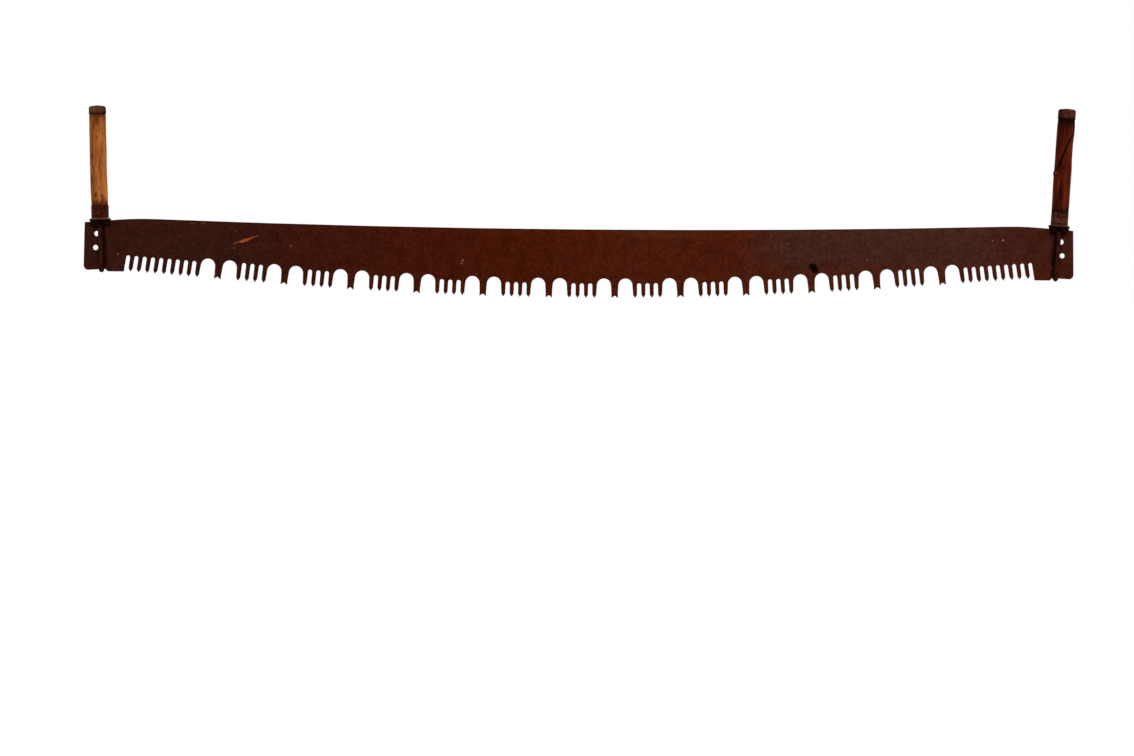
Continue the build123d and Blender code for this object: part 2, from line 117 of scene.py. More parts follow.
# Stains on the grips, as patches in the handle's own frame: on the left one down its left third, knots, and
# grime near the ferrule, and on the right one hand-darkened places
LEFT_STAINS = (
    ((-7.4, -13, 150), (2.2, 6, 22), 0.03, 0.75), ((-8.2, -12.5, 120), (3.2, 6, 22), 0.02, 0.85),
    ((-6.2, -13.7, 97), (2.4, 5, 14), -0.25, 0.9), ((-9.8, -11, 78), (3.0, 6, 17), 0.1, 0.9),
    ((1.7, -15, 153.4), (1.9, 4, 2.8), 0.0, 0.95), ((10, -11.5, 160), (1.7, 4, 2.6), 0.0, 0.75),
    ((9.5, -12, 167), (1.4, 4, 2.2), 0.0, 0.7), ((-5, -14, 173), (3.2, 5, 15), 0.1, 0.7),
    ((2.5, -14.8, 183), (4.4, 5, 16), 0.0, 0.6), ((-3.4, -14.7, 47.4), (3.2, 4, 8), 0.2, 0.9),
    ((7.5, -13, 45), (2.4, 4, 5), 0.0, 0.9), ((2.7, -14.8, 61), (1.9, 4, 7), 0.0, 0.6),
    ((5, -14.2, 100), (1.5, 4, 16), 0.05, 0.55), ((9, -12, 128), (1.4, 4, 18), 0.0, 0.5),
    ((-13.6, -6, 110), (3.4, 10, 90), 0.0, 0.65), ((-2, -14.9, 78), (1.8, 4, 6), 0.3, 0.5),
)
RIGHT_STAINS = (
    ((-6, -14, 66), (6, 6, 30), 0.02, 0.6), ((7, -13.5, 150), (3.5, 5, 22), 0.1, 0.3),
    ((-9, -12.5, 120), (6, 6, 18), 0.1, 0.6), ((12, -9.5, 190), (3.4, 6, 20), 0.0, 0.95),
    ((-13, -8, 185), (3, 6, 26), 0.0, 0.5), ((9, -12, 45), (4, 6, 12), 0.0, 0.5),
)
# A painted highlight on the sliver of the right grip, as a patch in the same frame
RIGHT_SLIVER_HIGHLIGHTS = (((-14.6, -5, 104.5), (2.0, 5, 3.2), 0.2, 0.5),)
# Grime by the ferrule and by the cap nut: where it starts and is full, up the stem, and how strongly it shows
LEFT_GRIME = ((46, 31, 0.95), (172, 192, 0.5), (189, 195, 0.95))
RIGHT_GRIME = ((48, 33, 0.9), (180, 202, 0.75), (196, 201, 0.95))

# The crack down the right grip: degrees round from the front, and heights up the stem in millimetres
CRACK = (
    (35, 204), (47, 191), (46, 179), (34, 174), (18, 170), (8, 163), (-5, 153), (-18, 142), (-30, 132),
    (-40, 125), (-50, 117), (-62, 111), (-78, 106), (-90, 102),
)
# Mean radius of that grip's wood, for lengths measured round it
ROUND_RADIUS = 15.4
# The wood right of the crack has sunk: the height it is centred on, how far up and down, and how deep
SUNK_HEIGHT = 147
SUNK_REACH = 24
SUNK_DEPTH = 0.85
# Where the sliver stands off, and how far round and how far up it reaches
SLIVER_PLACE = (-88, 103.5)
SLIVER_REACH = (0.32, 4.2)

# The lamps: place, size across and the setting that holds the power, all aimed at the saw's middle
LAMPS = (
    ("key lamp", (4.4, -1.9, 1.9), 1.6, "key"), ("side lamp", (-4.4, -1.7, 1.6), 1.6, "side"),
    ("top lamp", (0.0, -0.4, 3.2), 2.6, "top"),
)
SAW_MIDDLE = (0, 0, 0.15)
FLOOR_REACH = 30.0
# The camera sees the saw square on, and the saw hangs high in the photograph's frame
CAMERA_PLACE = (-0.0958, -3.0, 0.15)
CAMERA_TURN = (pi / 2, -0.0091149, -0.0227162)
CAMERA_SHIFT = (-0.00044, -0.14236)


def linear(hex_colour):
    """An sRGB hex colour as the linear red, green and blue that Blender works in."""
    parts = [int(hex_colour[i:i + 2], 16) / 255 for i in (1, 3, 5)]
    return [c / 12.92 if c <= 0.04045 else ((c + 0.055) / 1.055) ** 2.4 for c in parts]


def colour_property(name, description, hex_colour):
    """A colour that a user may change."""
    return FloatVectorProperty(
        name=name, description=description, subtype="COLOR", size=3, min=0, max=1,
        default=linear(hex_colour),
    )


def length_property(name, description, millimetres):
    """A length that a user may change, kept in metres."""
    return FloatProperty(
        name=name, description=description, default=millimetres * MM, unit="LENGTH", precision=5,
    )


def handle_place(name):
    """The turn and shift that stand a piece, made round an upright Z axis, on a handle's stem."""
    handle = HANDLES[name]
    seat = END_HEIGHT + (handle["inset"] - END_RAKE) * SEAT_RISE
    at = Vector((handle["side"] * (HALF_LENGTH - handle["inset"]), 0, seat)) * MM
    return Matrix.Translation(at) @ Matrix.Rotation(radians(handle["side"] * handle["lean"]), 4, "Y")


class BladeLook(bpy.types.PropertyGroup):
    """Colours of the rusted blade from end to end."""

    left_end: colour_property("Left end", "Rust at the blade's left end", "#28100a")
    left_part: colour_property("Left part", "Rust on the left third", "#2f0e06")
    middle: colour_property("Middle", "Rust at mid length", "#350f03")
    red_part: colour_property("Redder part", "Redder rust just right of mid length", "#381206")
    right_part: colour_property("Right part", "Greyer rust on the right third", "#321912")
    right_end: colour_property("Right end", "Rust at the right end", "#30130c")
    fresh_rust: colour_property("Fresh rust", "Thin orange rust on the scratch", "#843c1c")
    smear: colour_property("Smear", "Paler brown smear below the back", "#4a2c15")
    speck: colour_property("Specks", "Small pale specks", "#8a6252")
    blot: colour_property("Blot", "Black scale in the blot on the right", "#060201")
    pit: colour_property("Pits", "Dark scale in the pits and along the back", "#0a0301")
    pit_size: length_property("Pit size", "Width of the pits, as coarse as they need to be seen", 1.6)


class IronLook(bpy.types.PropertyGroup):
    """Colours of the forged and cast iron of the handles."""

    loop: colour_property("Loop", "Dark scale on the forged loops", "#210905")
    ferrule: colour_property("Ferrule", "Rust on the ferrules", "#290c05")
    left_cap: colour_property("Left cap", "Grey-brown rust on the left cap nut", "#46291b")
    right_cap: colour_property("Right cap", "Red-brown rust on the right cap nut", "#351810")
    saddle: colour_property("Saddle", "Rust on the cast saddles", "#0e0402")
    nail: colour_property("Nails", "Iron of the nails' heads", "#43231a")
    # This colour also paints the highlights on the rims of the saddles, ferrules and cap nuts
    worn_edge_and_highlight: colour_property("Worn edge", "Iron rubbed lighter on rims and high spots", "#5c3424")
    pit: colour_property("Pits", "Dark scale in the pits", "#0a0301")


class GripLook(bpy.types.PropertyGroup):
    """Sizes and colours of the turned wooden grips."""

    facets: IntProperty(name="Facets", description="Facets round a grip", default=176, min=24, max=256)
    rows: IntProperty(name="Rows", description="Rows of faces up a grip", default=230, min=24, max=400)
    dent: length_property("Dent depth", "How deep the dents of use are", 0.32)
    crack_width: length_property("Crack width", "Width of the crack down the right grip", 3.4)
    crack_depth: length_property("Crack depth", "Depth of that crack", 1.7)
    sliver: length_property("Sliver", "How far the sliver at the crack's lower end stands proud", 2.2)
    tan_light: colour_property("Tan, light", "Light wood of the left grip", "#8c5328")
    tan_dark: colour_property("Tan, dark", "Dark streaks of the left grip", "#67340f")
    tan_stain: colour_property("Tan, stain", "Iron stain and grime on the left grip", "#3c1606")
    dark_light: colour_property("Dark, light", "Light streaks of the right grip", "#4a1604")
    dark_dark: colour_property("Dark, dark", "Dark streaks of the right grip", "#280501")
    dark_stain: colour_property("Dark, stain", "Grime on the right grip", "#0b0201")
    # A painted highlight on the sliver, in this colour
    sliver_highlight: colour_property("Chip", "Bare wood where the sliver has chipped", "#7a4230")
    crack: colour_property("Crack", "The inside of the crack", "#080201")


class NailSizes(bpy.types.PropertyGroup):
    """Sizes of the small nails that hold the ferrules and the cap nuts."""

    each: IntProperty(name="Nails each", description="Nails in each ring", default=2, min=1, max=6)
    head_radius: length_property("Head radius", "Radius of a nail's head", 2.15)
    head_height: length_property("Head height", "Height of the domed head", 0.75)
    shank_radius: length_property("Shank radius", "Radius of the shank in its hole", 1.08)
    shank_length: length_property("Shank length", "Length of the shank below the surface", 5.9)


class StageSettings(bpy.types.PropertyGroup):
    """The studio: floor, lights and camera."""

    floor_colour: colour_property("Floor", "Pale floor", "#ffffff")
    floor_drop: length_property("Floor drop", "How far the floor lies below the lowest teeth", 420.0)
    fill: FloatProperty(name="Surround", description="Brightness of the white surround", default=1.0, min=0)
    key: FloatProperty(
        name="Key lamp", description="Power of the lamp on the right", default=150.0, min=0, unit="POWER",
    )
    side: FloatProperty(
        name="Side lamp", description="Power of the lamp on the left", default=70.0, min=0, unit="POWER",
    )
    top: FloatProperty(
        name="Top lamp", description="Power of the lamp above", default=20.0, min=0, unit="POWER",
    )
    lens: FloatProperty(
        name="Focal length", description="The camera's focal length", default=51.585,
        unit="CAMERA", min=1,
    )


def add_node(tree, kind, links=None, **settings):
    """Adds a node, sets it and links or fills its inputs, which are given by name or by number."""
    node = tree.nodes.new(kind)
    for setting, value in settings.items():
        setattr(node, setting, value)
    for key, value in (links or {}).items():
        socket = node.inputs[key]
        if isinstance(value, bpy.types.NodeSocket):
            tree.links.new(value, socket)
        else:
            socket.default_value = value
    return node


def fill_ramp(node, stops):
    """Gives a colour ramp its stops, as places and linear colours."""
    ramp = node.color_ramp
    while len(ramp.elements) > 2:
        ramp.elements.remove(ramp.elements[-1])
    for number, (place, colour) in enumerate(stops):
        stop = ramp.elements[number] if number < 2 else ramp.elements.new(place)
        stop.position = place
        stop.color = (*colour, 1)
    return node


class Surface:
    """One procedural material in the making, with the few patterns that the saw's finishes share."""

    def __init__(self, name, place=None):
        """Starts the material. place turns the pattern's Z axis along a leaning handle."""
        self.material = bpy.data.materials.new(name)
        self.material.use_nodes = True
        self.tree = self.material.node_tree
        self.tree.nodes.clear()
        coords = add_node(self.tree, "ShaderNodeTexCoord").outputs["Object"]
        if place:
            links = {"Vector": coords, "Location": place.to_translation(), "Rotation": place.to_euler()}
            coords = self.node("ShaderNodeMapping", links, vector_type="TEXTURE").outputs["Vector"]
        self.coords = coords
        self.xyz = self.node("ShaderNodeSeparateXYZ", {0: coords}).outputs

    def node(self, kind, links=None, **settings):
        """A node of this material."""
        return add_node(self.tree, kind, links, **settings)

    def sum(self, operation, first, second, third=0.0):
        """The result of one sum on numbers."""
        return self.node("ShaderNodeMath", {0: first, 1: second, 2: third}, operation=operation).outputs[0]

    def span(self, value, low, high, to_low=0.0, to_high=1.0):
        """value from low to high as a smooth step from to_low to to_high."""
        links = {"Value": value, 1: low, 2: high, 3: to_low, 4: to_high}
        return self.node("ShaderNodeMapRange", links, interpolation_type="SMOOTHSTEP").outputs["Result"]

    def cloud(self, size, detail=3.0, along=1.0, distortion=0.0):
        """Noise from 0 to 1 with lumps of a real size in millimetres, drawn out along Z."""
        stretched = self.node(
            "ShaderNodeMapping", {"Vector": self.coords, "Scale": (1, 1, 1 / along)},
        ).outputs["Vector"]
        links = {
            "Vector": stretched, "Scale": 1 / (size * MM), "Detail": detail, "Roughness": 0.55,
            "Distortion": distortion,
        }
        return self.node("ShaderNodeTexNoise", links).outputs["Fac"]

    def shade(self, colour, factor):
        """A colour made lighter or darker by a number."""
        return self.node(
            "ShaderNodeVectorMath", {0: colour, "Scale": factor}, operation="SCALE",
        ).outputs["Vector"]

    def blend(self, factor, under, over):
        """Two colours mixed."""
        links = {"Factor": factor}
        mix = self.node("ShaderNodeMix", links, data_type="RGBA")
        for socket, value in ((mix.inputs[6], under), (mix.inputs[7], over)):
            if isinstance(value, bpy.types.NodeSocket):
                self.tree.links.new(value, socket)
            else:
                socket.default_value = (*value, 1)
        return mix.outputs[2]

    def lay(self, base, mask, amount, colour):
        """A colour laid over base where the mask is 1, as strongly as amount says."""
        return self.blend(self.sum("MULTIPLY", mask, amount), base, colour)

    def mottle(self, base, size, low, high, detail=4.0, along=1.0):
        """base made uneven, from low to high, by clouds of a real size in millimetres."""
        return self.shade(base, self.span(self.cloud(size, detail, along), 0.3, 0.7, low, high))

    def patch(self, centre, size, turn=0.0, ragged=0.0, soft=0.5):
        """1 inside an ellipse round centre, given in millimetres and turned in the XZ plane, 0 outside."""
        place = self.node(
            "ShaderNodeMapping",
            {"Vector": self.coords, "Location": Vector(centre) * MM, "Rotation": (0, turn, 0),
             "Scale": Vector(size) * MM},
            vector_type="TEXTURE",
        ).outputs["Vector"]
        reach = self.node("ShaderNodeVectorMath", {0: place}, operation="LENGTH").outputs["Value"]
        if ragged:
            edge = self.cloud(ragged, 3.0)
            reach = self.sum("MULTIPLY_ADD", edge, 0.9, self.sum("SUBTRACT", reach, 0.45))
        return self.span(reach, 1.0, 1.0 - soft)

    def lay_patches(self, base, patches, colour, ragged, soft):
        """A colour laid over base in patches, each a centre, half sizes, a turn and an amount."""
        for centre, size, turn, amount in patches:
            base = self.lay(base, self.patch(centre, size, turn, ragged, soft), amount, colour)
        return base

    def finish(self, colour, roughness, specular, bumps):
        """Ends the material in a shader. bumps are heights from 0 to 1 with their depths in millimetres.

        specular stays near 0, because the white surround would turn dark rust and dark wood grey.
        """
        normal = None
        for height, depth in bumps:
            links = {"Height": height, "Distance": depth * MM, "Strength": 1.0}
            if normal:
                links["Normal"] = normal
            normal = self.node("ShaderNodeBump", links).outputs["Normal"]
        links = {
            "Base Color": colour, "Roughness": roughness, "Specular IOR Level": specular, "Normal": normal,
        }
        shader = self.node("ShaderNodeBsdfPrincipled", links)
        self.node("ShaderNodeOutputMaterial", {"Surface": shader.outputs["BSDF"]})
        return self.material


def rusted_saw_steel(look):
    """Rolled and ground saw steel under an even coat of old rust: matt, dark, redder in the middle."""
    skin = Surface("rusted_saw_steel")
    x, z = skin.xyz["X"], skin.xyz["Z"]
    # The rust changes tone slowly along the blade, as lumps of some 90 mm and not as a clean gradient
    drift = skin.sum("MULTIPLY_ADD", skin.cloud(90, 2.0), 0.06, -0.03)
    along = skin.sum("ADD", skin.sum("MULTIPLY_ADD", x, 1 / (2 * HALF_LENGTH * MM), 0.5), drift)
    base = fill_ramp(skin.node("ShaderNodeValToRGB", {"Fac": along}), [
        (0.0, look.left_end), (1.0, look.right_end), (0.95, look.right_end), (0.15, look.left_end),
        (0.23, look.left_part), (0.42, look.middle), (0.55, look.red_part), (0.66, look.red_part),
        (0.71, look.right_part), (0.91, look.right_part),
    ]).outputs["Color"]
    # On the right the greyer rust turns red again toward the teeth
    low = skin.sum("MULTIPLY", skin.span(z, 0.085, 0.045), skin.span(along, 0.64, 0.7))
    base = skin.lay(base, low, 0.55, look.red_part)
    # The band under the back is a little lighter, where the steel was ground thin
    curve = skin.sum("MULTIPLY", skin.sum("MULTIPLY", x, x), 1 / (2 * HOLLOW_RADIUS * MM))
    height_under_back = skin.sum("SUBTRACT", skin.sum("ADD", curve, MIDDLE_HEIGHT * MM), z)
    base = skin.shade(base, skin.span(height_under_back, 0.022, 0.002, 1.0, 1.1))
    # Mottling: clouds of 25 mm, grains of 6 mm and pits of the named size
    base = skin.mottle(base, 25, 0.84, 1.18)
    base = skin.mottle(base, 6, 0.76, 1.26)
    base = skin.lay(base, skin.span(skin.cloud(16, 4.0), 0.5, 0.72), 0.22, look.right_part)
    pits = skin.span(skin.cloud(look.pit_size / MM, 2.0), 0.62, 0.74)
    base = skin.lay(base, pits, 0.6, look.pit)
    flecks = skin.span(skin.cloud(3.4, 1.0, distortion=0.6), 0.72, 0.8)
    base = skin.lay(base, flecks, 0.25, look.fresh_rust)
    base = skin.lay_patches(base, (SMEAR,), look.smear, 22, 0.9)
    base = skin.lay_patches(base, SCRATCHES, look.fresh_rust, 4, 0.6)
    specks = [
        ((across, -1, up), (wide, 0.9, wide * 0.85), 0.0, amount) for across, up, wide, amount in SPECKS
    ]
    base = skin.lay_patches(base, specks, look.speck, 0, 0.7)
    base = skin.lay_patches(base, RUBS, look.fresh_rust, 0, 0.6)
    base = skin.lay_patches(base, BLOTS, look.blot, 5, 0.35)
    # A thin dark line along the back edge
    line = skin.span(height_under_back, 0.0026, 0.0008)
    broken = skin.span(skin.cloud(14, 2.0), 0.35, 0.6, 0.2, 0.8)
    base = skin.lay(base, line, broken, look.pit)
    # Painted shade on both faces of the blade, under each saddle and along the legs of its loop
    for name, handle in HANDLES.items():
        place = handle_place(name)
        turn = place.to_euler()[1]
        along_legs = ((-1.8 * handle["side"], 0, -52), (11.5, 6, 66), 0.8)
        under_saddle = ((0, 0, -8), (23, 6, 8), 0.85)
        painted_shade = [
            (place @ (Vector(centre) * MM) / MM, size, turn, amount)
            for centre, size, amount in (along_legs, under_saddle)
        ]
        base = skin.lay_patches(base, painted_shade, look.pit, 5, 0.5)
    rough = skin.span(skin.cloud(6, 3.0), 0.3, 0.7, 0.74, 0.92)
    bumps = ((skin.cloud(2.2, 3.0), 0.16), (skin.cloud(11, 3.0), 0.3), (pits, -0.12))
    return skin.finish(base, rough, 0.005, bumps)


def old_iron(name, place, colour, look, worn, grain, bands=(), rims=(), specular=0.012):
    """Forged or cast iron with old rust: dark and matt, rubbed lighter in places, dark in its pits.

    worn is how strongly the rubbed places show, and grain the width of the pits in millimetres.
    bands are (axis, start, end, from, to): painted shade and light, how much darker or lighter the iron
    gets from start to end, in millimetres. rims are (height, half width, amount): rings of painted highlight
    in the worn colour.
    """
    skin = Surface(name, place)
    base = skin.mottle(colour, 9, 0.8, 1.2, 3.0)
    base = skin.lay(base, skin.span(skin.cloud(4, 3.0), 0.5, 0.72), worn, look.worn_edge_and_highlight)
    # Painted highlights: rings of the worn colour round rims
    for height, half, amount in rims:
        off = skin.sum("ABSOLUTE", skin.sum("SUBTRACT", skin.xyz["Z"], height * MM), 0.0)
        ring = skin.sum("MULTIPLY", skin.span(off, half * MM, half * 0.3 * MM), amount)
        base = skin.lay(base, ring, skin.span(skin.cloud(7, 2.0), 0.35, 0.55, 0.4, 1.0), look.worn_edge_and_highlight)
    # Painted shade and light: the iron darker or lighter along one axis
    for axis, start, end, low, high in bands:
        away = skin.sum("ABSOLUTE", skin.xyz[axis], 0.0)
        base = skin.shade(base, skin.span(away, start * MM, end * MM, low, high))
    pits = skin.span(skin.cloud(grain, 2.0), 0.6, 0.72)
    base = skin.lay(base, pits, 0.55, look.pit)
    rough = skin.span(skin.cloud(5, 2.0), 0.3, 0.7, 0.6, 0.85)
    return skin.finish(base, rough, specular, ((skin.cloud(grain, 3.0), 0.16), (skin.cloud(7, 2.0), 0.3)))


def worn_hardwood(name, place, look, shades, stains, grime, uneven, sides, sliver_highlights=()):
    """Turned hardwood, oiled by hands: fine streaks along the grip, dark pores, stains near the iron.

    shades are the light wood, the dark wood and the stain. stains and grime are laid out as in the
    tables above, and so are the painted highlights on the sliver. uneven is how much the tone drifts, and
    sides are the painted shade and light of the left and right side.
    """
    skin = Surface(name, place)
    light, dark, stain = shades
    # Early and late wood as streaks 5 mm wide and some 90 mm long, with finer ones of 1.7 mm in them
    broad = skin.sum("MULTIPLY", skin.cloud(5.2, 3.0, along=16, distortion=0.6), 0.65)
    fine = skin.sum("MULTIPLY", skin.cloud(1.7, 2.0, along=26, distortion=0.3), 0.35)
    bands = skin.sum("ADD", broad, fine)
    base = skin.blend(skin.span(bands, 0.36, 0.64), dark, light)
    base = skin.mottle(base, 20, 1 - uneven, 1 + uneven, along=2.2)
    # Painted shade and light: the grip darker on its left side and lighter on its right
    base = skin.shade(base, skin.span(skin.xyz["X"], -14 * MM, 8 * MM, *sides))
    base = skin.lay(base, skin.span(skin.cloud(6.5, 4.0, along=2.6), 0.56, 0.74), 0.35, stain)
    pores = skin.span(skin.cloud(0.8, 2.0, along=20), 0.6, 0.72)
    base = skin.lay(base, pores, 0.3, stain)
    # Grime where the wood meets the ferrule and the cap nut
    ragged = skin.sum("MULTIPLY_ADD", skin.cloud(4, 4.0, along=3), 0.022, -0.011)
    for start, end, amount in grime:
        edge = skin.span(skin.sum("ADD", skin.xyz["Z"], ragged), start * MM, end * MM)
        base = skin.lay(base, edge, amount, stain)
    base = skin.lay_patches(base, stains, stain, 6, 0.75)
    # A painted highlight on the sliver
    base = skin.lay_patches(base, sliver_highlights, look.sliver_highlight, 3.5, 0.7)
    crack = skin.node("ShaderNodeAttribute", attribute_name="crack").outputs["Fac"]
    base = skin.blend(crack, base, look.crack)
    rough = skin.span(bands, 0.3, 0.7, 0.66, 0.5)
    return skin.finish(base, rough, 0.015, ((bands, 0.12), (pores, -0.06)))


def dress(node_name, material):
    """Gives a CAD node its material. Its mesh stays as it is."""
    mesh = nodes[node_name].data
    mesh.materials.clear()
    mesh.materials.append(material)


def grip_profile(handle, rows):
    """The turned outline as (radius, height, is it the bare wood), in millimetres, closed round the bores."""
    bottom = handle["rise"]
    shoulder = bottom + FERRULE_LENGTH
    cap = shoulder + handle["length"]
    cap_tenon = handle["cap_radius"] - CAP_WALL_AND_GAP
    outline = [(LOOP_BORE_RADIUS, bottom, 0), (TENON_RADIUS, bottom, 0), (TENON_RADIUS, shoulder, 0)]
    for share in np.linspace(0, 1, rows):
        radius = float(np.interp(share, handle["places"], handle["radii"]))
        # The last of the wood under the cap nut is rounded over
        to_end = min(1.0, (1 - share) * handle["length"] / GRIP_END_ROUND)
        inset = GRIP_END_ROUND * (1 - (1 - (1 - to_end) ** 2) ** 0.5)
        outline.append((radius - inset, shoulder + share * handle["length"], 1))
    return outline + [
        (cap_tenon, cap, 0), (cap_tenon, cap + CAP_TENON_LENGTH, 0),
        (BOSS_BORE_RADIUS, cap + CAP_TENON_LENGTH, 0), (BOSS_BORE_RADIUS, cap - BOSS_BORE_DEPTH, 0),
        (STEM_BORE_RADIUS, cap - BOSS_BORE_DEPTH, 0), (STEM_BORE_RADIUS, LOOP_BORE_TOP, 0),
        (LOOP_BORE_RADIUS, LOOP_BORE_TOP, 0),
    ]


def waves(angle, height, seed):
    """Smooth irregular waves over a grip's surface, mostly from -1 to 1."""
    draw = np.random.default_rng(seed)
    total = np.zeros_like(angle)
    for _ in range(14):
        round_count = draw.integers(0, 5)
        rise = draw.uniform(0.004, 0.11)
        total += np.cos(round_count * angle + rise * height + draw.uniform(0, 2 * pi))
    return total / 5


def path_distance(across, height, path):
    """How far points of the unrolled surface are from a path, in millimetres, and how far along it."""
    best = np.full(across.shape, 1e9)
    place = np.zeros(across.shape)
    for number, ((x0, z0), (x1, z1)) in enumerate(zip(path, path[1:])):
        run = np.array([x1 - x0, z1 - z0])
        share = np.clip(((across - x0) * run[0] + (height - z0) * run[1]) / (run @ run), 0, 1)
        away = np.hypot(across - x0 - share * run[0], height - z0 - share * run[1])
        place = np.where(away < best, (number + share) / (len(path) - 1), place)
        best = np.minimum(best, away)
    return best, place


def cracked(radius, angle, height, look):
    """The right grip's radius with its crack, sunk wood and sliver, and how deep in the crack it is."""
    path = [(radians(a) * ROUND_RADIUS, h) for a, h in CRACK]
    round_way = angle * ROUND_RADIUS
    # The crack wavers by a third of a millimetre and is widest near its upper end
    waver = 0.35 * np.sin(height * 0.9) + 0.2 * np.sin(height * 2.3 + 1)
    away, place = path_distance(round_way + waver, height, path)
    half = look.crack_width / MM / 2 * (0.8 + 0.35 * np.sin(place * pi) + 0.9 * np.exp(-place / 0.12))
    groove = np.clip(1 - (away / half) ** 2, 0, 1)
    radius = radius - groove * look.crack_depth / MM
    # The wood sinks from the crack's line on, and comes back to the round at the back of the grip
    line = np.interp(height, *zip(*sorted((h, a) for a, h in path)))
    right_of = 1 / (1 + np.exp(-(round_way - line) / 0.7))
    up = np.exp(-((height - SUNK_HEIGHT) / SUNK_REACH) ** 4)
    sunk = right_of * up * np.clip((radians(150) - angle) / 0.6, 0, 1)
    radius = radius - SUNK_DEPTH * sunk * (1 - groove)
    off = (angle - radians(SLIVER_PLACE[0])) / SLIVER_REACH[0]
    above = (height - SLIVER_PLACE[1]) / SLIVER_REACH[1]
    sliver = np.exp(-(off ** 2) - above ** 2)
    return radius + look.sliver / MM * sliver, np.clip(2.2 * groove, 0, 1)


def place_mesh(name, mesh, sharp):
    """An object of a mesh that is moved onto its handle and smoothed but for edges sharper than an angle."""
    mesh.polygons.foreach_set("use_smooth", [True] * len(mesh.polygons))
    mesh.set_sharp_from_angle(angle=radians(sharp))
    mesh.transform(handle_place(name))
    made = bpy.data.objects.new(mesh.name, mesh)
    bpy.context.scene.collection.objects.link(made)
    return made


def build_grip(name, look):
    """The turned grip with its dents, its slight bow and, on the right one, its crack and sliver."""
    handle = HANDLES[name]
    outline = np.array(grip_profile(handle, look.rows))
    rows, count = len(outline), look.facets
    height = outline[:, 1:2] + np.zeros((1, count))
    wood = outline[:, 2:3]
    # 0 is the side that faces the camera, and the angle grows to the right
    angle = np.linspace(-pi, pi, count, endpoint=False)[None, :] + np.zeros((rows, 1))
    share = np.clip((height - handle["rise"] - FERRULE_LENGTH) / handle["length"], 0, 1)
    # Dents and bow fade out where the wood meets the iron
    calm = np.clip(12 * share, 0, 1) * np.clip(12 * (1 - share), 0, 1)
    radius = outline[:, 0:1] + wood * calm * look.dent / MM * waves(angle, height, handle["seed"])
    crack = np.zeros_like(angle)
    if name == "right":
        worn, crack = cracked(radius, angle, height, look)
        radius = np.where(wood > 0, worn, radius)
        crack = crack * wood
    bow = wood * calm * handle["bow"] * np.sin(pi * np.clip(share * 1.25, 0, 1)) ** 2
    points = np.stack([radius * np.sin(angle) + bow, -radius * np.cos(angle), height], -1)
    faces = []
    for i in range(rows):
        j = (i + 1) % rows
        faces += [
            (i * count + k, i * count + (k + 1) % count, j * count + (k + 1) % count, j * count + k)
            for k in range(count)
        ]
    mesh = bpy.data.meshes.new(f"{name}_turned_grip")
    mesh.from_pydata((points.reshape(-1, 3) * MM).tolist(), [], faces)
    attribute = mesh.attributes.new("crack", "FLOAT", "POINT")
    attribute.data.foreach_set("value", crack.reshape(-1).astype(np.float32))
    edit = bmesh.new()
    edit.from_mesh(mesh)
    bmesh.ops.recalc_face_normals(edit, faces=edit.faces)
    edit.to_mesh(mesh)
    edit.free()
    return place_mesh(name, mesh, 38)


